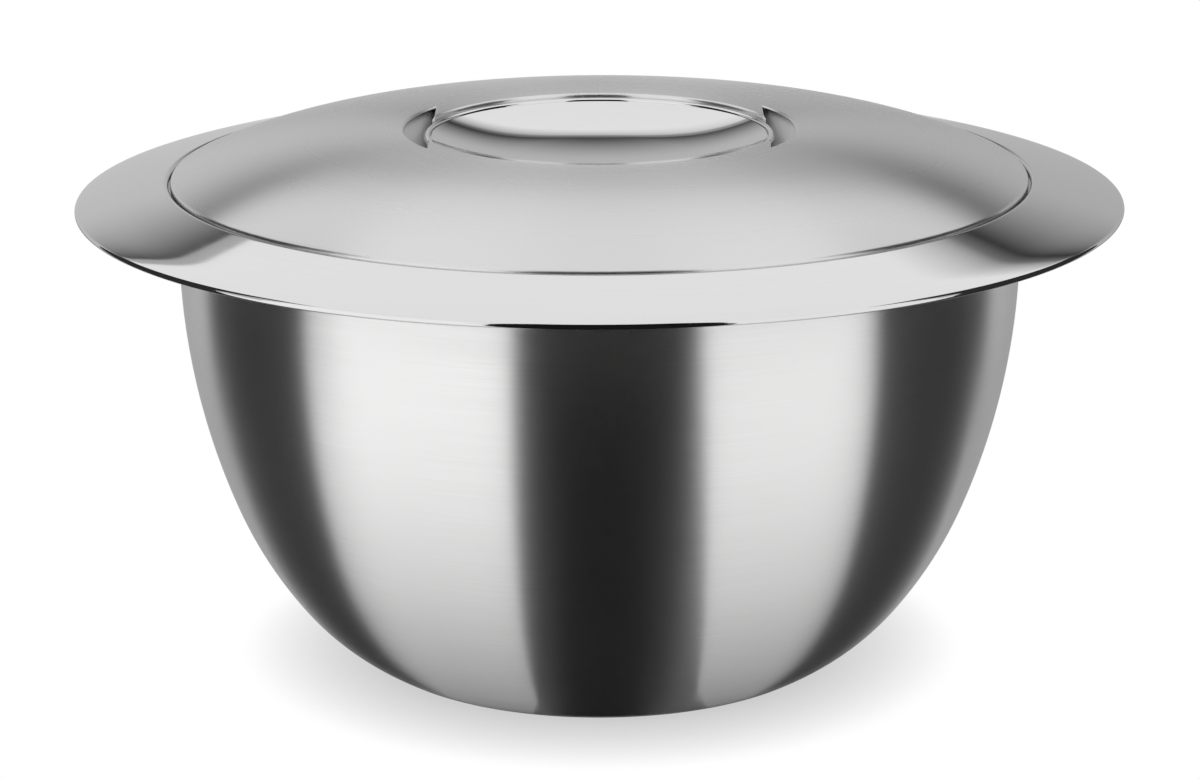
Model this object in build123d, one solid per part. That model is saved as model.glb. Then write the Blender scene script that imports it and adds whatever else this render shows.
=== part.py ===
from build123d import *
from math import acos, asin, cos, degrees, hypot, radians, sin, sqrt, tan
import os

# Insulated steel serving bowl with a lift-off lid, in millimetres.
# +Z is up, the origin is the centre of the base, and the lid's grip bridge runs along Y.
# Every profile is drawn as (distance from the Z axis, height) and turned about Z.

# Pressed sheet and the insulation between the two walls
sheet_thickness = 0.7
insulation_gap = 6.6
base_insulation = 9.0

# Bowl wall: three arcs that meet smoothly, then a straight stretch up to the lid's ledge.
# An arc's end is the slope of the wall from level, where the next arc down takes over.
bowl_radius = 121.0
upper_arc_radius = 199.0
upper_arc_end = 68.4
middle_arc_radius = 118.0
middle_arc_end = 52.0
lower_arc_radius = 70.6
base_inset = 53.5
base_corner_radius = 8.0
floor_corner_radius = 24.0
straight_wall_height = 17.4

# Base: the middle is pressed up, so the bowl stands on a ring
base_push_up = 1.5
base_ring_width = 9.0
base_ramp_width = 3.0

# Ledge that carries the lid, and the brim around it.
# The brim droops over its outer width, most of which is a rounding between its two slopes.
ledge_overhang = 2.4
ledge_bend = 2.2
collar_height = 3.7
brim_width = 26.6
brim_slope = 13.0
brim_bend = 1.2
brim_edge_slope = 21.0
brim_droop_width = 4.5
brim_droop_rounding = 0.9
hem_length = 5.0

# Lid: domed cover, pan that plugs the mouth, and seal under the pan's flange
lid_gap = 0.6
lid_edge_rise = 0.15
lid_edge_bend = 1.2
skirt_lift = 0.6
crest_rise = 12.85
crest_radius = 63.5
plug_gap = 1.0
plug_depth = 18.0
pan_corner_radius = 9.0
pan_flange_bend = 1.5
seal_thickness = 1.2
seal_width = 5.0
seal_inset = 0.5

# Grip: a round dish that bridges a finger well, open at its left and right sides
grip_radius = 50.3
grip_thickness = 1.2
grip_step = 0.9
grip_edge_round = 0.3
dish_depth = 8.8
dish_floor_radius = 190.0
dish_floor_reach = 25.4
bridge_inset = 2.3
lip_bend = 1.0
finger_gap = 6.7
finger_room = 7.0
well_setback = 2.5
well_roll = 3.0
well_slope = 52.0
well_flange_width = 7.0
well_corner_radius = 6.0

# Plugs that close the two foam ports
port_radius = 6.0
port_head_radius = 9.0
port_head_thickness = 0.9
port_stem_length = 5.0


def outward(slope):
    """Unit step out of a wall whose slope from level is given in degrees."""
    return sin(radians(slope)), -cos(radians(slope))


def arc_between(centre, radius, start_slope, end_slope):
    """Arc of a wall profile, from one slope to a steeper one."""
    return CenterArc(centre, radius, start_slope - 90, end_slope - start_slope)


def arc_through(centre, radius, first, last):
    """Shorter arc about a centre, from one point to another."""
    middle = [(a + b) / 2 - c for a, b, c in zip(first, last, centre)]
    stretch = radius / hypot(*middle)
    return ThreePointArc(first, tuple(c + m * stretch for c, m in zip(centre, middle)), last)


def corner_on_arc(centre, radius, line_radius, bend):
    """Rounds the corner of an arc and an upright line that ends under it.

    A positive bend turns down outside the arc's stretch, and a negative one turns down inside it.
    Gives the bend's centre, its end on the arc and its end on the line.
    """
    bend_r = line_radius - bend
    reach = radius - abs(bend)
    bend_centre = (bend_r, centre[1] + sqrt(reach**2 - (bend_r - centre[0]) ** 2))
    on_arc = tuple(c + (b - c) * radius / reach for b, c in zip(bend_centre, centre))
    return bend_centre, on_arc, (line_radius, bend_centre[1])


def back_of(path, side):
    """The far face of a sheet whose near face follows the path."""
    return offset(path, amount=sheet_thickness, side=side, closed=False).edges()


def turning_curve(edge):
    """The edge itself, or the same arc as a rational curve where its full circle would cross the Z axis.

    Such a circle turns into a torus that cuts itself, which no later cut could rely on.
    """
    if edge.geom_type != GeomType.CIRCLE or edge.radius < edge.arc_center.X:
        return edge
    half_sweep = edge.length / edge.radius / 2
    control = edge.arc_center + (edge @ 0.5 - edge.arc_center) / cos(half_sweep)
    return Bezier(edge @ 0, control, edge @ 1, weights=[1, cos(half_sweep), 1])


def turned(edges):
    """Solid of revolution of a closed profile."""
    return revolve(Plane.XZ * make_face([turning_curve(edge) for edge in edges]), Axis.Z)


def turned_sheet(path, side):
    """Sheet of even thickness whose near face follows the path."""
    return turned(offset(path, amount=sheet_thickness, side=side, closed=True).edges())


def standing_disc(radius, bottom, top):
    return Pos(0, 0, bottom) * Cylinder(radius, top - bottom, align=(Align.CENTER, Align.CENTER, Align.MIN))


# Centres of the wall's arcs. The base's edge sets how high they stand.
base_radius = bowl_radius - base_inset
upper_step = upper_arc_radius - middle_arc_radius
middle_step = middle_arc_radius - lower_arc_radius
upper_out, upper_down = outward(upper_arc_end)
middle_out, middle_down = outward(middle_arc_end)
lower_centre_radius = bowl_radius - upper_arc_radius + upper_step * upper_out + middle_step * middle_out
base_slope = degrees(asin((base_radius - lower_centre_radius) / lower_arc_radius))
lower_centre = (lower_centre_radius, lower_arc_radius * cos(radians(base_slope)))
middle_centre = (
    lower_centre[0] - middle_step * middle_out,
    lower_centre[1] - middle_step * middle_down,
)
upper_centre = (
    middle_centre[0] - upper_step * upper_out,
    middle_centre[1] - upper_step * upper_down,
)

# Heights and radii that follow from the driving sizes
inner_offset = 2 * sheet_thickness + insulation_gap
inner_radius = bowl_radius - inner_offset
inner_floor = 2 * sheet_thickness + base_insulation
ledge_height = upper_centre[1] + straight_wall_height
ledge_underside = ledge_height - sheet_thickness
collar_radius = bowl_radius + ledge_overhang
brim_inner_height = ledge_height + collar_height

bridge_half_width = grip_radius - bridge_inset
opening_radius = grip_radius + finger_gap
well_radius = opening_radius + well_setback - well_roll

lid_radius = collar_radius - lid_gap
skirt_inner_radius = lid_radius - sheet_thickness
lid_edge_height = brim_inner_height + lid_edge_rise
crest_height = lid_edge_height + crest_rise
dome_radius = ((lid_radius - crest_radius) ** 2 + crest_rise**2) / (2 * crest_rise)
dome_centre = (crest_radius, crest_height - dome_radius)
pan_radius = inner_radius - plug_gap
pan_floor = ledge_height - plug_depth
pan_flange_height = ledge_height + seal_thickness

grip_lip_height = dome_centre[1] + sqrt(dome_radius**2 - (grip_radius - crest_radius) ** 2)
grip_rim_height = grip_lip_height - grip_step
grip_underside = grip_rim_height - grip_thickness
well_floor = grip_underside - dish_depth - finger_room


def wall_path(inset, floor, corner_radius, floor_edges):
    """Face of the bowl wall at a depth under the outer face, from the floor up to the straight stretch."""
    lower_radius = lower_arc_radius - inset
    reach = lower_radius - corner_radius
    corner_rise = lower_centre[1] - floor - corner_radius
    corner_slope = degrees(acos(corner_rise / reach))
    corner_centre = (lower_centre[0] + reach * sin(radians(corner_slope)), floor + corner_radius)
    return [
        *floor_edges((corner_centre[0], floor)),
        arc_between(corner_centre, corner_radius, 0, corner_slope),
        arc_between(lower_centre, lower_radius, corner_slope, middle_arc_end),
        arc_between(middle_centre, middle_arc_radius - inset, middle_arc_end, upper_arc_end),
        arc_between(upper_centre, upper_arc_radius - inset, upper_arc_end, 90),
    ]


def level_floor(end):
    return [Line((0, end[1]), end)]


def pushed_up_floor(end):
    """Floor whose middle is pressed up, inside the ring that the bowl stands on."""
    ring_inner = base_radius - base_ring_width
    raised_radius = ring_inner - base_ramp_width
    raised = end[1] + base_push_up
    return Polyline((0, raised), (raised_radius, raised), (ring_inner, end[1]), end).edges()


def outer_shell_path():
    top = Line((bowl_radius, upper_centre[1]), (bowl_radius, ledge_underside))
    return Wire([*wall_path(0, 0, base_corner_radius, pushed_up_floor), top])


def inner_wall_edges():
    """Inside face of the inner shell, up to the end of the bend at its top."""
    bend_centre = (inner_radius + ledge_bend, ledge_height - ledge_bend)
    bend_start = (inner_radius, bend_centre[1])
    bend_end = (bend_centre[0], ledge_height)
    return [
        *wall_path(inner_offset, inner_floor, floor_corner_radius, level_floor),
        Line((inner_radius, upper_centre[1]), bend_start),
        arc_through(bend_centre, ledge_bend, bend_start, bend_end),
    ]


def inner_shell_path():
    ledge = Line((inner_radius + ledge_bend, ledge_height), (collar_radius, ledge_height))
    return Wire([*inner_wall_edges(), ledge])


def port_hole():
    return standing_disc(port_radius, 0, base_push_up + sheet_thickness + port_stem_length)


def bowl_outer_shell():
    return turned_sheet(outer_shell_path(), Side.LEFT) - port_hole()


def bowl_inner_shell():
    return turned_sheet(inner_shell_path(), Side.RIGHT)


def bowl_foam():
    """Foam that fills the space between the shells, up to the underside of the ledge."""
    top_outside = (bowl_radius - sheet_thickness, ledge_underside)
    top_inside = (inner_radius + ledge_bend, ledge_underside)
    return (
        turned(
            [
                *back_of(outer_shell_path(), Side.LEFT),
                Line(top_outside, top_inside),
                *back_of(Wire(inner_wall_edges()), Side.RIGHT),
                Line((0, inner_floor - sheet_thickness), (0, base_push_up + sheet_thickness)),
            ]
        )
        - port_hole()
    )


def brim_ring():
    """Collar welded around the ledge, the brim that droops towards its edge, and the hem folded under it."""
    brim_radius = collar_radius + brim_width
    corner = (collar_radius, brim_inner_height)
    knee_radius = brim_radius - brim_droop_width
    knee = (knee_radius, corner[1] - (knee_radius - collar_radius) * tan(radians(brim_slope)))
    edge_step = (cos(radians(brim_edge_slope)), -sin(radians(brim_edge_slope)))
    under_step = (edge_step[1], -edge_step[0])
    top_end_radius = brim_radius - sheet_thickness - under_step[0] * sheet_thickness
    top_end = (top_end_radius, knee[1] - (top_end_radius - knee_radius) * tan(radians(brim_edge_slope)))
    half_turn = radians(brim_edge_slope - brim_slope) / 2
    droop_radius = brim_droop_width * brim_droop_rounding / tan(half_turn)
    foot = (collar_radius, ledge_underside)
    path = FilletPolyline(foot, corner, knee, top_end, radius=[brim_bend, droop_radius])
    sheet = make_face(offset(path, amount=sheet_thickness, side=Side.RIGHT, closed=True))

    def from_end(along, under):
        return tuple(e + along * s + under * u for e, s, u in zip(top_end, edge_step, under_step))

    hem_depth = 2 * sheet_thickness
    inside_sheet = sheet_thickness / 2
    fold = make_face(
        [
            Line(top_end, from_end(-hem_length, inside_sheet)),
            Line(from_end(-hem_length, inside_sheet), from_end(-hem_length, hem_depth)),
            Line(from_end(-hem_length, hem_depth), from_end(0, hem_depth)),
            ThreePointArc(from_end(0, hem_depth), from_end(sheet_thickness, sheet_thickness), top_end),
        ]
    )
    return revolve(Plane.XZ * (sheet + fold), Axis.Z)


def lid_cover_path():
    """Top face of the cover: the lip round the grip, the dome, the rounded edge and the skirt."""
    lip_centre, lip_top, lip_side = corner_on_arc(dome_centre, dome_radius, grip_radius, -lip_bend)
    edge_centre, edge_top, edge_side = corner_on_arc(dome_centre, dome_radius, lid_radius, lid_edge_bend)
    return Wire(
        [
            Line((grip_radius, grip_underside), lip_side),
            arc_through(lip_centre, lip_bend, lip_side, lip_top),
            arc_through(dome_centre, dome_radius, lip_top, edge_top),
            arc_through(edge_centre, lid_edge_bend, edge_top, edge_side),
            Line(edge_side, (lid_radius, ledge_height + skirt_lift)),
        ]
    )


def finger_opening():
    """Cut at the right of the cover: straight along the bridge, square across the lip, round outside."""
    lip_end_radius = grip_radius + lip_bend + sheet_thickness
    lip_end = (bridge_half_width, sqrt(lip_end_radius**2 - bridge_half_width**2))
    tip = (bridge_half_width, sqrt(opening_radius**2 - bridge_half_width**2))
    front_lip_end = (lip_end[0], -lip_end[1])
    front_tip = (tip[0], -tip[1])
    outline = make_face(
        [
            *Polyline(front_tip, front_lip_end, (0, 0), lip_end, tip).edges(),
            ThreePointArc(tip, (opening_radius, 0), front_tip),
        ]
    )
    cut_bottom = grip_underside - dish_depth
    return Pos(0, 0, cut_bottom) * extrude(outline, crest_height + crest_rise - cut_bottom)


def lid_cover():
    """Cover with its round opening, widened at left and right so that fingers reach under the grip."""
    right = finger_opening()
    left = Rot(0, 0, 180) * finger_opening()
    return turned_sheet(lid_cover_path(), Side.RIGHT) - right - left


def lid_pan_path():
    return FilletPolyline(
        (skirt_inner_radius, pan_flange_height),
        (pan_radius, pan_flange_height),
        (pan_radius, pan_floor),
        (0, pan_floor),
        radius=[pan_flange_bend, pan_corner_radius],
    )


def lid_pan():
    return turned_sheet(lid_pan_path(), Side.RIGHT)


def well_flange_end():
    """Outer end of the well's flange, on the cover's underside."""
    flange_end_radius = crest_radius + well_flange_width
    under_dome = dome_radius - sheet_thickness
    rise = sqrt(under_dome**2 - (flange_end_radius - crest_radius) ** 2)
    return flange_end_radius, dome_centre[1] + rise


def finger_well_path():
    """Inside face of the well: the flange under the cover, the roll, the sloping wall and the floor."""
    under_dome = dome_radius - sheet_thickness
    slope = radians(well_slope)
    roll_centre, roll_top, _ = corner_on_arc(dome_centre, under_dome, well_radius, -well_roll)
    roll_end = (roll_centre[0] - well_roll * sin(slope), roll_centre[1] + well_roll * cos(slope))
    corner_start_height = well_floor + well_corner_radius * (1 - cos(slope))
    wall_run = (roll_end[1] - corner_start_height) / tan(slope)
    corner_start = (roll_end[0] - wall_run, corner_start_height)
    corner_centre = (corner_start[0] - well_corner_radius * sin(slope), well_floor + well_corner_radius)
    corner_end = (corner_centre[0], well_floor)
    return Wire(
        [
            arc_through(dome_centre, under_dome, well_flange_end(), roll_top),
            arc_through(roll_centre, well_roll, roll_top, roll_end),
            Line(roll_end, corner_start),
            arc_through(corner_centre, well_corner_radius, corner_start, corner_end),
            Line(corner_end, (0, well_floor)),
        ]
    )


def well_port_hole():
    return standing_disc(port_radius, well_floor - sheet_thickness - port_stem_length, well_floor)


def finger_well():
    return turned_sheet(finger_well_path(), Side.LEFT) - well_port_hole()


def lid_foam():
    """Foam that fills the lid between the cover, the pan and the finger well."""
    under_dome = dome_radius - sheet_thickness
    edge_bend = lid_edge_bend - sheet_thickness
    edge_centre, edge_top, edge_side = corner_on_arc(dome_centre, under_dome, skirt_inner_radius, edge_bend)
    flange_end = well_flange_end()
    flange_share = (under_dome - sheet_thickness) / under_dome
    flange_under = tuple(c + (e - c) * flange_share for c, e in zip(dome_centre, flange_end))
    pan_flange_top = pan_flange_height + sheet_thickness
    return (
        turned(
            [
                *back_of(finger_well_path(), Side.LEFT),
                Line(flange_under, flange_end),
                arc_through(dome_centre, under_dome, flange_end, edge_top),
                arc_through(edge_centre, edge_bend, edge_top, edge_side),
                Line(edge_side, (skirt_inner_radius, pan_flange_top)),
                *back_of(lid_pan_path(), Side.RIGHT),
                Line((0, pan_floor + sheet_thickness), (0, well_floor - sheet_thickness)),
            ]
        )
        - well_port_hole()
    )


def lid_seal():
    """Flat ring between the pan's flange and the ledge."""
    inner = inner_radius + ledge_bend + seal_inset
    outer = inner + seal_width
    ring = standing_disc(outer, ledge_height, pan_flange_height)
    return ring - standing_disc(inner, ledge_height, pan_flange_height)


def dish_face(middle):
    """Face of the dish from its middle out: a shallow arc, then a rounder one up to the rim."""
    floor_centre = (0, middle + dish_floor_radius)
    floor_slope = asin(dish_floor_reach / dish_floor_radius)
    floor = arc_between(floor_centre, dish_floor_radius, 0, degrees(floor_slope))
    rim = (grip_radius, middle + dish_depth)
    return [floor, TangentArc(floor @ 1, rim, tangent=floor % 1)]


def grip_plate():
    """Round dish welded to the cover's lip at front and back."""
    dish_middle = grip_rim_height - dish_depth
    under_middle = dish_middle - grip_thickness
    dish = turned(
        [
            Line((0, under_middle), (0, dish_middle)),
            *dish_face(dish_middle),
            Line((grip_radius, grip_rim_height), (grip_radius, grip_underside)),
            *dish_face(under_middle),
        ]
    )
    rims = dish.edges().filter_by(GeomType.CIRCLE).group_by(SortBy.RADIUS)[-1]
    return fillet(rims, grip_edge_round)


def port_plug():
    """Plug with its stem up, and the top of its head at height zero."""
    head = standing_disc(port_head_radius, -port_head_thickness, 0)
    head = fillet(head.edges().group_by(Axis.Z)[0], port_head_thickness / 2)
    return head + standing_disc(port_radius, 0, sheet_thickness + port_stem_length)


def base_port_plug():
    return Pos(0, 0, base_push_up) * port_plug()


def lid_port_plug():
    return Pos(0, 0, well_floor) * Rot(180, 0, 0) * port_plug()


pieces = [
    bowl_outer_shell,
    bowl_inner_shell,
    bowl_foam,
    brim_ring,
    base_port_plug,
    lid_cover,
    lid_pan,
    lid_foam,
    lid_seal,
    finger_well,
    grip_plate,
    lid_port_plug,
]

os.makedirs("parts", exist_ok=True)
for piece in pieces:
    export_step(piece(), f"parts/{piece.__name__}.step")
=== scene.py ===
from math import acos, asin, ceil, cos, degrees, hypot, pi, radians, sin, sqrt, tan

import bmesh
import bpy
from mathutils import Matrix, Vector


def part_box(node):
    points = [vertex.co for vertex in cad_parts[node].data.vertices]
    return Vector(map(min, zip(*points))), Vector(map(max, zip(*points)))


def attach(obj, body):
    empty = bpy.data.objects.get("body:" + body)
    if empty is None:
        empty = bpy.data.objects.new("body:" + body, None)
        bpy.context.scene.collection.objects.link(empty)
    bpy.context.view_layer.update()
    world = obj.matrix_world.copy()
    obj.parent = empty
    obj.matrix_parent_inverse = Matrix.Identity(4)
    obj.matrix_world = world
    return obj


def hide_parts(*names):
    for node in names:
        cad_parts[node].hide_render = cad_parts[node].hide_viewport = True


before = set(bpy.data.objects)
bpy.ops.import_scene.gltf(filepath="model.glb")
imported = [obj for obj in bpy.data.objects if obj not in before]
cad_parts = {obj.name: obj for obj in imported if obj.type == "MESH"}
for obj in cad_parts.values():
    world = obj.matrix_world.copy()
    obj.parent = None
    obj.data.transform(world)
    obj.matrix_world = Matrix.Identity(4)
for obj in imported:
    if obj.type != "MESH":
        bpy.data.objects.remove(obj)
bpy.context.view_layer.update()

# Sizes are in metres and angles in degrees. Profiles are (distance from the Z axis, height), turned about Z.

# Read from the frame
bowl_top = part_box("bowl_outer_shell")[1]
inner_low, inner_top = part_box("bowl_inner_shell")
cover_low, cover_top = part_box("lid_cover")
pan_low, pan_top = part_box("lid_pan")
seal_low, seal_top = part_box("lid_seal")
well_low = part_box("finger_well")[0]
grip_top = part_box("grip_plate")[1]

bowl_radius = bowl_top.x
ledge_underside = bowl_top.z
ledge_height = inner_top.z
sheet = ledge_height - ledge_underside
collar_radius = inner_top.x
inner_floor = inner_low.z + sheet
brim_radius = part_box("brim_ring")[1].x
lid_radius = cover_top.x
crest_height = cover_top.z
skirt_bottom = cover_low.z
pan_floor = pan_low.z
pan_flange_height = pan_top.z - sheet
seal_radius = seal_top.x
well_floor = well_low.z + sheet
grip_radius = grip_top.x

# Bowl wall: three arcs, each ending at a slope from level
upper_arc_radius = 0.199
upper_arc_end = 68.4
middle_arc_radius = 0.118
middle_arc_end = 52.0
lower_arc_radius = 0.0706
base_inset = 0.0535
base_corner_radius = 0.008
floor_corner_radius = 0.024
wall_depth = 0.008
base_push_up = 0.0015
base_ring_width = 0.009
base_ramp_width = 0.003
ledge_bend = 0.0022
port_radius = 0.006

# Brim
collar_height = 0.0037
brim_slope = 13.0
brim_bend = 0.0012
hem_length = 0.005
hem_radius = 0.0009
slack_slope = 12.9
slack_radius = 0.1365
edge_slope = 22.0

# Lid
lid_edge_rise = 0.00015
lid_edge_bend = 0.0012
crest_radius = 0.0635
pan_gap = 0.001
pan_corner_radius = 0.009
pan_flange_bend = 0.0015
seal_width = 0.005
seal_round = 0.0003

# Grip, its bridge and the finger well
bridge_half_width = 0.048
lip_bend = 0.001
grip_step = 0.0009
grip_thickness = 0.0012
bead_radius = 0.0009
bead_drop = 0.0002
groove_width = 0.0003
groove_depth = 0.0006
dish_depth = 0.0088
dish_floor_radius = 0.19
dish_floor_reach = 0.0254
finger_gap = 0.0067
opening_edge_roll = 0.0012
well_setback = 0.0025
well_roll = 0.003
well_slope = 52.0
well_clearance = 0.0009
well_corner_radius = 0.006
well_flange_width = 0.007
roll_overlap = 0.004
edge_round = 0.00015

# Fineness of the meshes, and the angles from which an edge is sharp or gets rounded
turn_columns = 256
bridge_columns = 96
roll_columns = 72
brim_rows = 60
floor_rows_reach = 0.02
sharp_angle = 35.0
cut_edge_angle = 55.0


def arc(centre, radius, first, last, step=3.0):
    """Points of an arc, between two angles in degrees from level, turning up."""
    count = max(2, ceil(abs(last - first) / step))
    angles = [radians(first + (last - first) * i / count) for i in range(count + 1)]
    return [(centre[0] + radius * cos(a), centre[1] + radius * sin(a)) for a in angles]


def run(first, last, count):
    """Points along a straight stretch, so that a long face has enough rows."""
    shares = [i / count for i in range(count + 1)]
    return [tuple(a + (b - a) * s for a, b in zip(first, last)) for s in shares]


def without_repeats(path):
    kept = [path[0]]
    for point in path[1:]:
        if hypot(point[0] - kept[-1][0], point[1] - kept[-1][1]) > 1e-7:
            kept.append(point)
    return kept


def beside(path, amount):
    """The path moved sideways, to its left where the amount is positive."""
    moved = []
    for i, point in enumerate(path):
        before = path[max(i - 1, 0)]
        after = path[min(i + 1, len(path) - 1)]
        steps = [(point[0] - before[0], point[1] - before[1]), (after[0] - point[0], after[1] - point[1])]
        normals = [(-s[1] / hypot(*s), s[0] / hypot(*s)) for s in steps if hypot(*s) > 0]
        total = tuple(sum(n[k] for n in normals) for k in (0, 1))
        length = hypot(*total)
        share = amount * len(normals) / length**2
        moved.append((point[0] + total[0] * share, point[1] + total[1] * share))
    return moved


def sheet_profile(path, side):
    """Closed outline of a sheet whose near face follows the path."""
    near = without_repeats(path)
    far = [(max(r, 0.0), z) for r, z in beside(near, sheet * side)]
    return near + far[::-1]


def smooth(mesh):
    for face in mesh.polygons:
        face.use_smooth = True
    mesh.set_sharp_from_angle(angle=radians(sharp_angle))


def new_piece(name, shape):
    """Object made of a finished shape, with its normals outward."""
    bmesh.ops.recalc_face_normals(shape, faces=shape.faces)
    mesh = bpy.data.meshes.new(name)
    shape.to_mesh(mesh)
    shape.free()
    smooth(mesh)
    piece = bpy.data.objects.new(name, mesh)
    bpy.context.collection.objects.link(piece)
    return piece


def ring(shape, r, z, turns):
    return [shape.verts.new((r * cos(a), r * sin(a), z)) for a in turns]


def lathe(name, outline):
    """Solid of revolution of a closed outline, as quads."""
    shape = bmesh.new()
    turns = [2 * pi * i / turn_columns for i in range(turn_columns)]
    rings = [ring(shape, r, z, turns if r > 1e-6 else [0.0]) for r, z in without_repeats(outline)]
    for low, high in zip(rings, rings[1:] + rings[:1]):
        if len(low) == 1 and len(high) == 1:
            continue
        for i in range(turn_columns):
            low_side = [low[i % len(low)], low[(i + 1) % len(low)]]
            high_side = [high[(i + 1) % len(high)], high[i % len(high)]]
            shape.faces.new(list(dict.fromkeys(low_side + high_side)))
    return new_piece(name, shape)


# Bowl

base_radius = bowl_radius - base_inset


def step_out(slope, length):
    return length * sin(radians(slope)), -length * cos(radians(slope))


def moved_in(centre, slope, length):
    return tuple(c - s for c, s in zip(centre, step_out(slope, length)))


upper_step = upper_arc_radius - middle_arc_radius
middle_step = middle_arc_radius - lower_arc_radius
lower_centre_radius = (
    bowl_radius
    - upper_arc_radius
    + step_out(upper_arc_end, upper_step)[0]
    + step_out(middle_arc_end, middle_step)[0]
)
base_slope = asin((base_radius - lower_centre_radius) / lower_arc_radius)
lower_centre = (lower_centre_radius, lower_arc_radius * cos(base_slope))
middle_centre = moved_in(lower_centre, middle_arc_end, middle_step)
upper_centre = moved_in(middle_centre, upper_arc_end, upper_step)


def wall_points(depth, floor, corner_radius):
    """Face of the wall at a depth under the outer one, from the end of the floor to the straight stretch."""
    reach = lower_arc_radius - depth - corner_radius
    corner_slope = degrees(acos((lower_centre[1] - floor - corner_radius) / reach))
    corner_centre = (lower_centre[0] + reach * sin(radians(corner_slope)), floor + corner_radius)
    return [
        *arc(corner_centre, corner_radius, -90, corner_slope - 90),
        *arc(lower_centre, lower_arc_radius - depth, corner_slope - 90, middle_arc_end - 90, 1.5),
        *arc(middle_centre, middle_arc_radius - depth, middle_arc_end - 90, upper_arc_end - 90, 1.0),
        *arc(upper_centre, upper_arc_radius - depth, upper_arc_end - 90, 0, 1.0),
    ]


def bowl_outer_shell():
    ring_inner = base_radius - base_ring_width
    raised_radius = ring_inner - base_ramp_width
    path = [
        *run((port_radius, base_push_up), (raised_radius, base_push_up), 8),
        (ring_inner, 0),
        *wall_points(0, 0, base_corner_radius),
        *run((bowl_radius, upper_centre[1]), (bowl_radius, ledge_underside), 4),
    ]
    return lathe("bowl_outer_wall", sheet_profile(path, 1))


def bowl_inner_shell():
    inner_radius = bowl_radius - wall_depth
    bend_centre = (inner_radius + ledge_bend, ledge_height - ledge_bend)
    path = [
        *run((0, inner_floor), (floor_rows_reach, inner_floor), 4),
        *wall_points(wall_depth, inner_floor, floor_corner_radius),
        *arc(bend_centre, ledge_bend, 180, 90, 6),
        (collar_radius, ledge_height),
    ]
    return lathe("bowl_inner_wall", sheet_profile(path, -1))


def brim_slope_at(r):
    """Slope of the brim, a little flatter in its middle and falling away towards its edge."""
    if r < slack_radius:
        share = (slack_radius - r) / (slack_radius - collar_radius)
        return slack_slope + (brim_slope - slack_slope) * share**2
    share = (r - slack_radius) / (brim_radius - slack_radius)
    return slack_slope + (edge_slope - slack_slope) * share**4


def brim():
    """Collar, sloping brim and the hem rolled under it."""
    slope = radians(brim_slope)
    corner_height = ledge_height + collar_height
    reach = brim_bend / tan((pi / 2 - slope) / 2)
    bend_centre = (collar_radius + brim_bend, corner_height - reach)
    bend = arc(bend_centre, brim_bend, 180, 90 - brim_slope, 6)
    hem_middle = brim_radius - hem_radius
    face_end = hem_middle + hem_radius * sin(radians(edge_slope))
    step = (face_end - bend[-1][0]) / brim_rows
    face = [bend[-1]]
    for i in range(brim_rows):
        r, z = face[-1]
        face.append((r + step, z - step * tan(radians(brim_slope_at(r + step / 2)))))
    hem_centre = (hem_middle, face[-1][1] - hem_radius * cos(radians(edge_slope)))
    hem = arc(hem_centre, hem_radius, 90 - edge_slope, -90 - brim_slope, 10)
    hem_end = (hem[-1][0] - hem_length * cos(slope), hem[-1][1] + hem_length * sin(slope))
    outline = [
        (collar_radius, ledge_underside),
        *bend,
        *face[1:],
        *hem,
        hem_end,
        (hem_end[0], corner_height - (hem_end[0] - collar_radius) * tan(slope) - sheet),
        (collar_radius + sheet + brim_bend / 2, corner_height - sheet - brim_bend / 2 * tan(slope)),
        (collar_radius + sheet, corner_height - sheet - brim_bend),
        (collar_radius + sheet, ledge_underside),
    ]
    return lathe("brim_and_collar", outline)


# Lid

lid_edge_height = ledge_height + collar_height + lid_edge_rise
crest_rise = crest_height - lid_edge_height
dome_radius = ((lid_radius - crest_radius) ** 2 + crest_rise**2) / (2 * crest_rise)
dome_centre = (crest_radius, crest_height - dome_radius)


def dome_height(r):
    return dome_centre[1] + sqrt(dome_radius**2 - (r - dome_centre[0]) ** 2)


def bend_on_dome(line_radius, bend):
    """Centre of a bend that leaves the dome for an upright line, and its direction from the dome's centre."""
    bend_radius = line_radius - bend
    out = bend_radius - dome_centre[0]
    reach = dome_radius - abs(bend)
    rise = sqrt(reach**2 - out**2)
    return (bend_radius, dome_centre[1] + rise), degrees(asin(out / reach))


def dome_run(first_tilt, last_tilt, step=0.5):
    return arc(dome_centre, dome_radius, 90 - first_tilt, 90 - last_tilt, step)


opening_radius = grip_radius + finger_gap
opening_height = dome_height(opening_radius)
opening_tilt = degrees(asin((opening_radius - dome_centre[0]) / dome_radius))
lip_height = dome_height(grip_radius)
rim_height = lip_height - grip_step
grip_underside = rim_height - grip_thickness


def cover_rows():
    """Cover's top face from the foot of its skirt in to the finger openings."""
    edge_centre, edge_tilt = bend_on_dome(lid_radius, lid_edge_bend)
    return without_repeats(
        [
            *run((lid_radius, skirt_bottom), (lid_radius, edge_centre[1]), 2),
            *arc(edge_centre, lid_edge_bend, 0, 90 - edge_tilt, 8),
            *dome_run(edge_tilt, opening_tilt),
        ]
    )


def bridge_rows():
    """Bridge's top face from the finger openings in to the lip around the grip."""
    lip_centre, lip_tilt = bend_on_dome(grip_radius, -lip_bend)
    return without_repeats(
        [
            *dome_run(opening_tilt, lip_tilt),
            *arc(lip_centre, lip_bend, 90 - lip_tilt, 180, 10),
            *run((grip_radius, lip_centre[1]), (grip_radius, grip_underside), 2),
        ]
    )


def roll_rows():
    """Roll at the edge of a finger opening, down towards the side of the finger well."""
    tilt = radians(opening_tilt)
    reach = dome_radius - opening_edge_roll
    centre = (dome_centre[0] + reach * sin(tilt), dome_centre[1] + reach * cos(tilt))
    return arc(centre, opening_edge_roll, 90 - opening_tilt, 90 + well_slope, 6)


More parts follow.
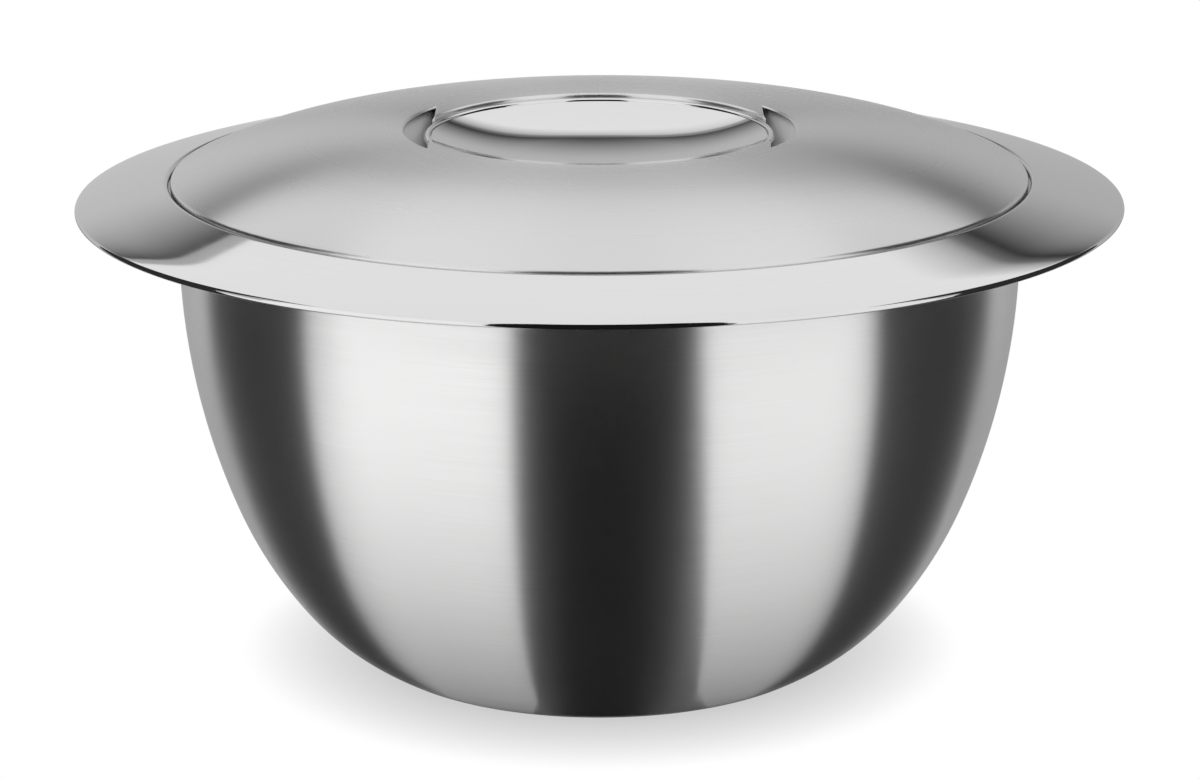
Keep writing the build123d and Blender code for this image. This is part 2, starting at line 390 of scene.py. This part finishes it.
def lid_cover():
    """Dome with its skirt, the bridge in front of and behind the grip, and the rolls at its sides."""
    shape = bmesh.new()
    tip = acos(bridge_half_width / opening_radius)
    spun, polished, soft = range(3)

    def spread(middle, half, count):
        return [middle - half + 2 * half * i / count for i in range(count + 1)]

    sectors = [
        ("roll", 0.0, tip, roll_columns),
        ("bridge", pi / 2, pi / 2 - tip, bridge_columns),
        ("roll", pi, tip, roll_columns),
        ("bridge", 3 * pi / 2, pi / 2 - tip, bridge_columns),
    ]
    turns = [a for kind, middle, half, count in sectors for a in spread(middle, half, count)[:-1]]

    def join(outer, inner, closed, finish):
        last = len(outer) if closed else len(outer) - 1
        for i in range(last):
            j = (i + 1) % len(outer)
            face = shape.faces.new((outer[i], outer[j], inner[j], inner[i]))
            face.material_index = finish

    def half_turn(kind, r, z):
        """Half of a row's turn. A roll's rows reach in under the bridge as they go down."""
        if kind == "bridge":
            return asin(bridge_half_width / r)
        share = min(1.0, (opening_height - z) / sheet)
        return acos((bridge_half_width - roll_overlap * share) / r)

    def row_finish(kind, r):
        if kind == "roll":
            return soft
        return spun if r > grip_radius + lip_bend else polished

    rows = cover_rows()
    edge_end = lid_radius - lid_edge_bend
    rings = [ring(shape, r, z, turns) for r, z in rows]
    for i in range(len(rings) - 1):
        join(rings[i], rings[i + 1], True, polished if rows[i + 1][0] > edge_end else spun)
    crest = rings[-1]

    start = 0
    for kind, middle, half, count in sectors:
        outer = [crest[(start + i) % len(crest)] for i in range(count + 1)]
        start += count
        sector_rows = bridge_rows() if kind == "bridge" else roll_rows()
        for r, z in sector_rows[1:]:
            inner = ring(shape, r, z, spread(middle, half_turn(kind, r, z), count))
            join(outer, inner, False, row_finish(kind, r))
            outer = inner
    return new_piece("lid_dome", shape)


def with_thickness(piece):
    """Gives a face its sheet thickness, away from its top side, and rounds the cut edges."""
    if sum(face.normal.z * face.area for face in piece.data.polygons) < 0:
        piece.data.flip_normals()
    solid = piece.modifiers.new("sheet", "SOLIDIFY")
    solid.thickness = sheet
    solid.offset = -1
    solid.use_even_offset = True
    solid.use_rim = True
    bevel = piece.modifiers.new("cut_edges", "BEVEL")
    bevel.width = edge_round
    bevel.segments = 2
    bevel.limit_method = "ANGLE"
    bevel.angle_limit = radians(cut_edge_angle)
    bpy.context.view_layer.update()
    shaped = bpy.data.meshes.new_from_object(piece.evaluated_get(bpy.context.evaluated_depsgraph_get()))
    piece.modifiers.clear()
    piece.data = shaped
    smooth(shaped)
    return piece


def lid_pan():
    pan_radius = bowl_radius - wall_depth - pan_gap
    flange_centre = (pan_radius + pan_flange_bend, pan_flange_height - pan_flange_bend)
    corner_centre = (pan_radius - pan_corner_radius, pan_floor + pan_corner_radius)
    path = [
        (lid_radius - sheet, pan_flange_height),
        *arc(flange_centre, pan_flange_bend, 90, 180, 9),
        *arc(corner_centre, pan_corner_radius, 0, -90, 5),
        *run((corner_centre[0], pan_floor), (0, pan_floor), 10),
    ]
    return lathe("lid_pan_inside", sheet_profile(path, -1))


def lid_seal():
    outer, inner = seal_radius, seal_radius - seal_width
    low, high = seal_low.z + seal_round, seal_top.z - seal_round
    outline = [
        *arc((outer - seal_round, high), seal_round, 0, 90, 30),
        *arc((inner + seal_round, high), seal_round, 90, 180, 30),
        *arc((inner + seal_round, low), seal_round, 180, 270, 30),
        *arc((outer - seal_round, low), seal_round, 270, 360, 30),
    ]
    return lathe("lid_seal_ring", outline)


def finger_well():
    """Cup under the grip, with the flange and roll that carry on under the bridge."""
    under_dome = dome_radius - well_clearance
    flange_tilt = degrees(asin((crest_radius + well_flange_width - dome_centre[0]) / under_dome))
    slope = radians(well_slope)
    roll_centre, roll_tilt = bend_on_dome(opening_radius + well_setback - well_roll, -well_roll)
    roll = arc(roll_centre, well_roll - well_clearance, 90 - roll_tilt, 90 + well_slope, 10)
    wall_drop = roll[-1][1] - well_floor - well_corner_radius * (1 - cos(slope))
    wall_end = roll[-1][0] - wall_drop / tan(slope)
    corner_centre = (wall_end - well_corner_radius * sin(slope), well_floor + well_corner_radius)
    path = [
        *arc(dome_centre, under_dome, 90 - flange_tilt, 90 - roll_tilt, 1.0),
        *roll,
        *arc(corner_centre, well_corner_radius, well_slope - 90, -90, 5),
        *run((corner_centre[0], well_floor), (port_radius, well_floor), 10),
    ]
    return lathe("finger_well_cup", sheet_profile(path, 1))


def dish_face(drop):
    """Face of the dish from its middle out to the rim, at a depth under its top."""
    middle = rim_height - dish_depth - drop
    slope = asin(dish_floor_reach / dish_floor_radius)
    floor = arc((0, middle + dish_floor_radius), dish_floor_radius, -90, degrees(slope) - 90, 0.25)
    out = grip_radius - floor[-1][0]
    up = middle + dish_depth - floor[-1][1]
    side_radius = hypot(out, up) ** 2 / (2 * (up * cos(slope) - out * sin(slope)))
    side_centre = (floor[-1][0] - side_radius * sin(slope), floor[-1][1] + side_radius * cos(slope))
    rim_slope = asin((grip_radius - side_centre[0]) / side_radius)
    return [*floor, *arc(side_centre, side_radius, degrees(slope) - 90, degrees(rim_slope) - 90, 0.5)]


def grip_plate():
    """Round dish with a groove and a bead round its rim."""
    top = without_repeats(dish_face(0))
    under = without_repeats(dish_face(grip_thickness))
    bead_centre = (grip_radius - bead_radius, rim_height - bead_drop - bead_radius)
    dish_end = grip_radius - 2 * bead_radius - groove_width
    face = [point for point in top if point[0] < dish_end]
    groove_floor = face[-1][1] - groove_depth
    groove_turn = 180 + degrees(asin((bead_centre[1] - groove_floor) / bead_radius))
    outline = [
        *face,
        (face[-1][0], groove_floor),
        *arc(bead_centre, bead_radius, groove_turn, -90, 8),
        *[point for point in under if point[0] < dish_end][::-1],
    ]
    return lathe("grip_dish", outline)


# Camera, worked out from the brim's outline in the photograph

camera_distance = 1.0
camera_height = 0.3606
camera_pitch = 15.843
camera_roll = -0.17
camera_lens = 106.4


def add_camera():
    camera = bpy.data.objects.new("camera", bpy.data.cameras.new("camera"))
    bpy.context.collection.objects.link(camera)
    camera.data.lens = camera_lens
    camera.data.sensor_width = 36.0
    camera.data.sensor_fit = "HORIZONTAL"
    pitch = Matrix.Rotation(radians(90 - camera_pitch), 4, "X")
    roll = Matrix.Rotation(radians(camera_roll), 4, "Z")
    camera.matrix_world = Matrix.Translation((0, -camera_distance, camera_height)) @ pitch @ roll
    bpy.context.scene.camera = camera


# Finishes

def node(tree, kind, **values):
    made = tree.nodes.new(kind)
    for name, value in values.items():
        setattr(made, name, value)
    return made


def material(name):
    made = bpy.data.materials.new(name)
    made.use_nodes = True
    tree = made.node_tree
    return made, tree, tree.nodes["Principled BSDF"]


def put(tree, value, socket):
    """Gives a socket a plain value, or links it to another socket."""
    if isinstance(value, (int, float)):
        socket.default_value = value
    else:
        tree.links.new(value, socket)


def math_node(tree, operation, *values):
    made = node(tree, "ShaderNodeMath", operation=operation)
    for value, socket in zip(values, made.inputs):
        put(tree, value, socket)
    return made.outputs[0]


def mapped(tree, value, source, target):
    made = node(tree, "ShaderNodeMapRange")
    names = ("Value", "From Min", "From Max", "To Min", "To Max")
    for name, given in zip(names, (value, *source, *target)):
        put(tree, given, made.inputs[name])
    return made.outputs["Result"]


def new_group(name, inputs, outputs):
    """Node group with plain number sockets. Gives its tree and the sockets inside it."""
    tree = bpy.data.node_groups.new(name, "ShaderNodeTree")
    for socket in inputs:
        tree.interface.new_socket(socket, in_out="INPUT", socket_type="NodeSocketFloat")
    for socket in outputs:
        tree.interface.new_socket(socket, in_out="OUTPUT", socket_type="NodeSocketFloat")
    return tree, node(tree, "NodeGroupInput").outputs, node(tree, "NodeGroupOutput").inputs


def group_in(tree, group, **values):
    """Places a group in a material, with its values. Gives the group's outputs."""
    made = node(tree, "ShaderNodeGroup", node_tree=group)
    for name, value in values.items():
        put(tree, value, made.inputs[name])
    return made.outputs


def place_in(tree):
    """Object coordinates: x, y and z."""
    place = node(tree, "ShaderNodeSeparateXYZ")
    tree.links.new(node(tree, "ShaderNodeTexCoord").outputs["Object"], place.inputs[0])
    return place.outputs


def distance_from_axis(tree, x, y):
    squares = [math_node(tree, "MULTIPLY", side, side) for side in (x, y)]
    return math_node(tree, "SQRT", math_node(tree, "ADD", *squares))


def turned_lines_group():
    """Fine lines round the Z axis, as a lathe or a brushing wheel leaves them."""
    names = ("centre_height", "lines_per_radian", "breaks_per_radian")
    tree, inputs, outputs = new_group("turned_lines", names, ("lines", "streaks"))
    x, y, z = place_in(tree)
    across = distance_from_axis(tree, x, y)
    below = math_node(tree, "SUBTRACT", inputs["centre_height"], z)
    meridian = math_node(tree, "ARCTAN2", across, below)
    turn = math_node(tree, "ARCTAN2", x, math_node(tree, "MULTIPLY", y, -1.0))
    for name, density in (("lines", 1.0), ("streaks", 0.22)):
        spot = node(tree, "ShaderNodeCombineXYZ")
        rows = math_node(tree, "MULTIPLY", meridian, inputs["lines_per_radian"])
        tree.links.new(math_node(tree, "MULTIPLY", rows, density), spot.inputs[0])
        tree.links.new(math_node(tree, "MULTIPLY", turn, inputs["breaks_per_radian"]), spot.inputs[1])
        noise = node(tree, "ShaderNodeTexNoise", noise_dimensions="2D")
        noise.inputs["Scale"].default_value = 1.0
        noise.inputs["Detail"].default_value = 3.0
        noise.inputs["Roughness"].default_value = 0.6
        tree.links.new(spot.outputs[0], noise.inputs["Vector"])
        tree.links.new(noise.outputs["Fac"], outputs[name])
    return tree


def ranged(tree, value, low, high):
    """Noise brought from the middle of its range to two levels."""
    return mapped(tree, value, (0.3, 0.7), (low, high))


def between(tree, value, low, high):
    made = node(tree, "ShaderNodeMix", data_type="RGBA")
    colours = [s for s in made.inputs if s.type == "RGBA"]
    colours[0].default_value = (*low, 1)
    colours[1].default_value = (*high, 1)
    tree.links.new(value, made.inputs["Factor"])
    return next(s for s in made.outputs if s.type == "RGBA")


def bumped(tree, shader, height, distance, strength):
    bump = node(tree, "ShaderNodeBump")
    bump.inputs["Distance"].default_value = distance
    bump.inputs["Strength"].default_value = strength
    tree.links.new(height, bump.inputs["Height"])
    tree.links.new(bump.outputs["Normal"], shader.inputs["Normal"])


def smeared_across_lines(tree, shader, amount):
    """Stretches reflections across the turned lines, as brushed metal does."""
    tangent = node(tree, "ShaderNodeTangent", direction_type="RADIAL", axis="Z")
    tree.links.new(tangent.outputs["Tangent"], shader.inputs["Tangent"])
    shader.inputs["Anisotropic"].default_value = amount
    shader.inputs["Anisotropic Rotation"].default_value = 0.25


def steel(name, turning, colours, roughness, coloured_by="streaks"):
    """Steel whose colour and roughness follow its turned lines. Gives the lines too, for a bump."""
    made, tree, shader = material(name)
    turned = group_in(
        tree,
        turned_lines,
        centre_height=turning[0],
        lines_per_radian=turning[1],
        breaks_per_radian=turning[2],
    )
    shader.inputs["Metallic"].default_value = 1.0
    colour = between(tree, ranged(tree, turned[coloured_by], 0, 1), *colours)
    tree.links.new(colour, shader.inputs["Base Color"])
    tree.links.new(ranged(tree, turned["streaks"], *roughness), shader.inputs["Roughness"])
    return made, tree, shader, turned["lines"]


def brushed_steel():
    """Wall of the bowl, brushed round."""
    colours = ((0.90, 0.895, 0.89), (0.94, 0.94, 0.94))
    made, tree, shader, lines = steel("brushed_steel", (0.12, 700.0, 2.0), colours, (0.33, 0.36), "lines")
    smeared_across_lines(tree, shader, 1.0)
    bumped(tree, shader, lines, 0.000006, 0.2)
    return made


def spun_steel():
    """Dome of the lid: polished on the turn, so that reflections smear towards its middle."""
    colours = ((0.715, 0.715, 0.715), (0.725, 0.725, 0.725))
    made, tree, shader = steel("spun_steel", (-0.2, 120.0, 0.4), colours, (0.27, 0.28))[:3]
    smeared_across_lines(tree, shader, 0.9)
    return made


def polished_steel():
    """Brim, dish and the bends of the lid."""
    colours = ((0.715, 0.715, 0.715), (0.725, 0.725, 0.725))
    return steel("polished_steel", (-0.2, 900.0, 1.0), colours, (0.05, 0.06))[0]


def soft_steel():
    """Finger well and the rolls above it: blasted softly, so that they scatter what falls into them."""
    colours = ((0.92, 0.92, 0.92), (0.95, 0.95, 0.95))
    return steel("soft_steel", (-0.2, 900.0, 1.0), colours, (0.62, 0.65))[0]


def satin_steel():
    """Inside of the bowl and underside of the lid."""
    colours = ((0.68, 0.68, 0.675), (0.76, 0.76, 0.755))
    made, tree, shader, lines = steel("satin_steel", (0.13, 500.0, 2.0), colours, (0.24, 0.32))
    smeared_across_lines(tree, shader, 0.6)
    bumped(tree, shader, lines, 0.00002, 0.25)
    return made


def speckled(name, scale, low, high, roughness, bump_distance):
    """Plain moulded or foamed stuff with a fine grain."""
    made, tree, shader = material(name)
    noise = node(tree, "ShaderNodeTexNoise")
    noise.inputs["Scale"].default_value = scale
    noise.inputs["Detail"].default_value = 4.0
    tree.links.new(node(tree, "ShaderNodeTexCoord").outputs["Object"], noise.inputs["Vector"])
    tree.links.new(between(tree, noise.outputs["Fac"], low, high), shader.inputs["Base Color"])
    tree.links.new(ranged(tree, noise.outputs["Fac"], *roughness), shader.inputs["Roughness"])
    bumped(tree, shader, noise.outputs["Fac"], bump_distance, 0.4)
    return made


def insulating_foam():
    return speckled("insulating_foam", 900.0, (0.62, 0.52, 0.33), (0.80, 0.72, 0.52), (0.7, 0.95), 0.0004)


def seal_silicone():
    return speckled("seal_silicone", 300.0, (0.55, 0.56, 0.57), (0.66, 0.67, 0.68), (0.38, 0.5), 0.00003)


def plug_plastic():
    return speckled("plug_plastic", 1500.0, (0.035, 0.035, 0.037), (0.07, 0.07, 0.073), (0.4, 0.55), 0.00004)


# Stage

floor_half = 4.0
floor_shadow_reach = 0.03
cloth_thickness = 0.0004
left_to_right = (-0.4, 0.2)
wall_distance = 1.2
wall_height = 0.741
wall_edge_height = 0.79
over_wall_height = 0.95
card_height = 1.4
dark_height = 0.8
centre_height = 2.0
centre_far = [(-0.345, -0.9), (0.4, -0.9)]
under_bowl_radius = 0.26
under_bowl_stretch = (0.07, under_bowl_radius)
wall_stretch = (0.40, 0.75)
wall_edge_stretch = (wall_height, wall_edge_height)
over_wall_stretch = (wall_edge_height, over_wall_height)


def glow_material(name):
    made = bpy.data.materials.new(name)
    made.use_nodes = True
    tree = made.node_tree
    tree.nodes.clear()
    glow = node(tree, "ShaderNodeEmission")
    out = node(tree, "ShaderNodeOutputMaterial")
    tree.links.new(glow.outputs[0], out.inputs["Surface"])
    return made, tree, glow


def even_glow(name, level):
    made, tree, glow = glow_material(name)
    glow.inputs["Color"].default_value = (level, level, level, 1)
    return made


def fading_level_group():
    """Level that changes along a stretch, with levels of its own at the left and at the right."""
    names = ("along", "start", "end", "bend", "left_start", "left_end", "right_start", "right_end")
    tree, inputs, outputs = new_group("fading_level", names, ("level",))
    share = mapped(tree, inputs["along"], (inputs["start"], inputs["end"]), (0, 1))
    share = math_node(tree, "POWER", share, inputs["bend"])
    left = mapped(tree, share, (0, 1), (inputs["left_start"], inputs["left_end"]))
    right = mapped(tree, share, (0, 1), (inputs["right_start"], inputs["right_end"]))
    across = mapped(tree, place_in(tree)["X"], left_to_right, (0, 1))
    tree.links.new(mapped(tree, across, (0, 1), (left, right)), outputs["level"])
    return tree


def fading_glow(name, kind, stretch, left, right, bend):
    """Glow that changes along a stretch of heights, or of distances from the Z axis."""
    made, tree, glow = glow_material(name)
    x, y, z = place_in(tree)
    fading = group_in(
        tree,
        fading_level,
        along=z if kind == "height" else distance_from_axis(tree, x, y),
        start=stretch[0],
        end=stretch[1],
        bend=bend,
        left_start=left[0],
        left_end=left[1],
        right_start=right[0],
        right_end=right[1],
    )
    tree.links.new(fading["level"], glow.inputs["Color"])
    return made


def seen_directly(tree):
    """1 for camera, glossy and transmission rays, and 0 for the light that falls on the object."""
    path = node(tree, "ShaderNodeLightPath")
    either = math_node(tree, "MAXIMUM", path.outputs["Is Camera Ray"], path.outputs["Is Glossy Ray"])
    return math_node(tree, "MAXIMUM", either, path.outputs["Is Transmission Ray"])


def by_ray(tree, falling, seen):
    """One shader for the light that falls on the object, and another for what is seen directly."""
    mix = node(tree, "ShaderNodeMixShader")
    tree.links.new(seen_directly(tree), mix.inputs["Fac"])
    tree.links.new(falling.outputs[0], mix.inputs[1])
    tree.links.new(seen.outputs[0], mix.inputs[2])
    return mix.outputs[0]


def pale_floor():
    """Floor that is white where it is seen, but for the shadow close to the object."""
    made, tree, glow = glow_material("pale_floor")
    shade = node(tree, "ShaderNodeAmbientOcclusion", samples=16)
    shade.inputs["Distance"].default_value = floor_shadow_reach
    tree.links.new(mapped(tree, shade.outputs["AO"], (0.1, 0.8), (0.6, 1.0)), glow.inputs["Color"])
    matt = node(tree, "ShaderNodeBsdfDiffuse")
    matt.inputs["Color"].default_value = (0.85, 0.85, 0.85, 1)
    out = tree.nodes["Material Output"]
    tree.links.new(by_ray(tree, matt, glow), out.inputs["Surface"])
    return made


def add_floor():
    mesh = bpy.data.meshes.new("floor")
    corners = [(x * floor_half, y * floor_half, 0) for x, y in ((-1, -1), (1, -1), (1, 1), (-1, 1))]
    mesh.from_pydata(corners, [], [(0, 1, 2, 3)])
    floor = bpy.data.objects.new("floor", mesh)
    bpy.context.collection.objects.link(floor)
    mesh.materials.append(pale_floor())


def add_world():
    world = bpy.data.worlds.new("studio")
    bpy.context.scene.world = world
    world.use_nodes = True
    tree = world.node_tree
    tree.nodes.clear()
    soft = node(tree, "ShaderNodeBackground")
    soft.inputs["Color"].default_value = (0.75, 0.75, 0.75, 1)
    white = node(tree, "ShaderNodeBackground")
    white.inputs["Color"].default_value = (1, 1, 1, 1)
    out = node(tree, "ShaderNodeOutputWorld")
    tree.links.new(by_ray(tree, soft, white), out.inputs["Surface"])


def add_card(name, corners, faces, finish):
    """Card or cloth of the studio, seen only in reflections."""
    mesh = bpy.data.meshes.new(name)
    mesh.from_pydata(corners, [], faces)
    card = bpy.data.objects.new(name, mesh)
    bpy.context.collection.objects.link(card)
    mesh.materials.append(finish)
    card.visible_camera = False
    card.visible_diffuse = False
    card.visible_shadow = False
    card.visible_volume_scatter = False


def add_cloth(name, outline, layer, finish):
    """Cloth on the floor; a higher layer lies over a lower one."""
    corners = [(x, y, layer * cloth_thickness) for x, y in outline]
    add_card(name, corners, [tuple(range(len(outline)))], finish)


def add_stand(name, ends, low, high, finish):
    """Upright card along the floor points given."""
    corners = [(x, y, z) for z in (low, high) for x, y in ends]
    count = len(ends)
    faces = [(i, i + 1, count + i + 1, count + i) for i in range(count - 1)]
    add_card(name, corners, faces, finish)


def circle(radius, first, last, count):
    turns = [radians(first + (last - first) * i / count) for i in range(count + 1)]
    return [(radius * cos(a), radius * sin(a)) for a in turns]


add_camera()
add_floor()
add_world()
bpy.context.scene.view_settings.view_transform = "Standard"

turned_lines = turned_lines_group()
fading_level = fading_level_group()
finishes = {
    "brushed_steel": brushed_steel(),
    "spun_steel": spun_steel(),
    "polished_steel": polished_steel(),
    "soft_steel": soft_steel(),
    "satin_steel": satin_steel(),
    "insulating_foam": insulating_foam(),
    "seal_silicone": seal_silicone(),
    "plug_plastic": plug_plastic(),
}

cover_looks = ["spun_steel", "polished_steel", "soft_steel"]
pieces = [
    (bowl_outer_shell(), "bowl", "bowl_outer_shell", "brushed_steel", ["brushed_steel"]),
    (bowl_inner_shell(), "bowl", "bowl_inner_shell", "satin_steel", ["satin_steel"]),
    (brim(), "bowl", "brim_ring", "polished_steel", ["polished_steel"]),
    (with_thickness(lid_cover()), "lid", "lid_cover", "polished_steel", cover_looks),
    (lid_pan(), "lid", "lid_pan", "satin_steel", ["satin_steel"]),
    (lid_seal(), "lid", "lid_seal", "seal_silicone", ["seal_silicone"]),
    (finger_well(), "lid", "finger_well", "polished_steel", ["soft_steel"]),
    (grip_plate(), "lid", "grip_plate", "polished_steel", ["polished_steel"]),
]
for piece, body, replaced, slot, looks in pieces:
    piece.data.materials.clear()
    for look in looks:
        piece.data.materials.append(finishes[look])
    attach(piece, body)
    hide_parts(replaced)

kept_nodes = {
    "bowl_foam": "insulating_foam",
    "lid_foam": "insulating_foam",
    "base_port_plug": "plug_plastic",
    "lid_port_plug": "plug_plastic",
}
for name, finish in kept_nodes.items():
    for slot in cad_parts[name].material_slots:
        slot.material = finishes[finish]

black = even_glow("black_cloth", 0.01)
dark = even_glow("dark_cloth", 0.03)
grey = even_glow("grey_cloth", 0.33)
pale = even_glow("pale_cloth", 0.63)
bright_left = even_glow("bright_left", 1.12)
bright_right = even_glow("bright_right", 1.03)
# Painted shadow: this glow is dark close to the bowl, standing in for the bowl's shadow on the floor as
# reflections see it. It rises outward to the level of the bright cloths.
painted_bowl_shadow = fading_glow("painted_bowl_shadow", "distance", under_bowl_stretch, (0.12, 1.12), (0.04, 1.02), 0.65)
wall = fading_glow("back_wall", "height", wall_stretch, (0.62, 0.03), (0.50, 0.0), 1.7)
wall_edge = fading_glow("wall_edge", "height", wall_edge_stretch, (0.48, 0.48), (0.06, 0.20), 1.0)
over_wall = fading_glow("over_wall", "height", over_wall_stretch, (1.0, 1.0), (0.20, 1.0), 0.6)


def add_side(side, sign, corner, back, far, bright):
    """Bright, grey and dark cloths and cards at one side of the stage."""
    outer = (sign * 1.6, -0.3)
    front = (sign * 0.8, -1.6)
    grey_outline = [(0.05, -0.05), (0.42, 0.22), (0.7, 0.9), (0.25, 0.9)]
    add_cloth(side + "_front_cloth", [(sign * 0.02, -0.1), corner, outer, front, far], 1, bright)
    add_stand(side + "_front_card", [outer, front], 0.0, card_height, bright)
    add_cloth(side + "_grey_cloth", [(sign * x, y) for x, y in grey_outline], 3, grey)
    add_cloth(side + "_dark_cloth", [(sign * 0.045, -0.06), corner, back], 4, dark)
    add_stand(side + "_dark_stand", [corner, back], 0.0, dark_height, dark)


wall_line = circle(wall_distance, -20, 200, 44)
add_stand("back_wall", wall_line, 0.0, wall_height, wall)
add_stand("wall_edge", wall_line, *wall_edge_stretch, wall_edge)
add_stand("over_wall", wall_line, *over_wall_stretch, over_wall)
add_cloth("back_cloth", [(-1.1, 0.1), (1.1, 0.1), *circle(1.18, 5, 175, 20)], 1, pale)
# Cloth under the bowl that carries the painted shadow of the bowl, seen only in reflections.
add_cloth("painted_bowl_shadow_cloth", circle(under_bowl_radius, 0, 354, 59), 2, painted_bowl_shadow)
add_side("left", -1, (-0.56, -0.135), (-0.45, 0.233), centre_far[0], bright_left)
add_side("right", 1, (0.56, -0.195), (0.45, 0.22), centre_far[1], bright_right)
centre_near = [(0.030, 0.1), (-0.019, 0.1), (-0.019, -0.08)]
add_cloth("centre_cloth", [*centre_near, *centre_far, (0.030, -0.08)], 5, black)
add_stand("centre_stand", centre_far, 0.0, centre_height, black)
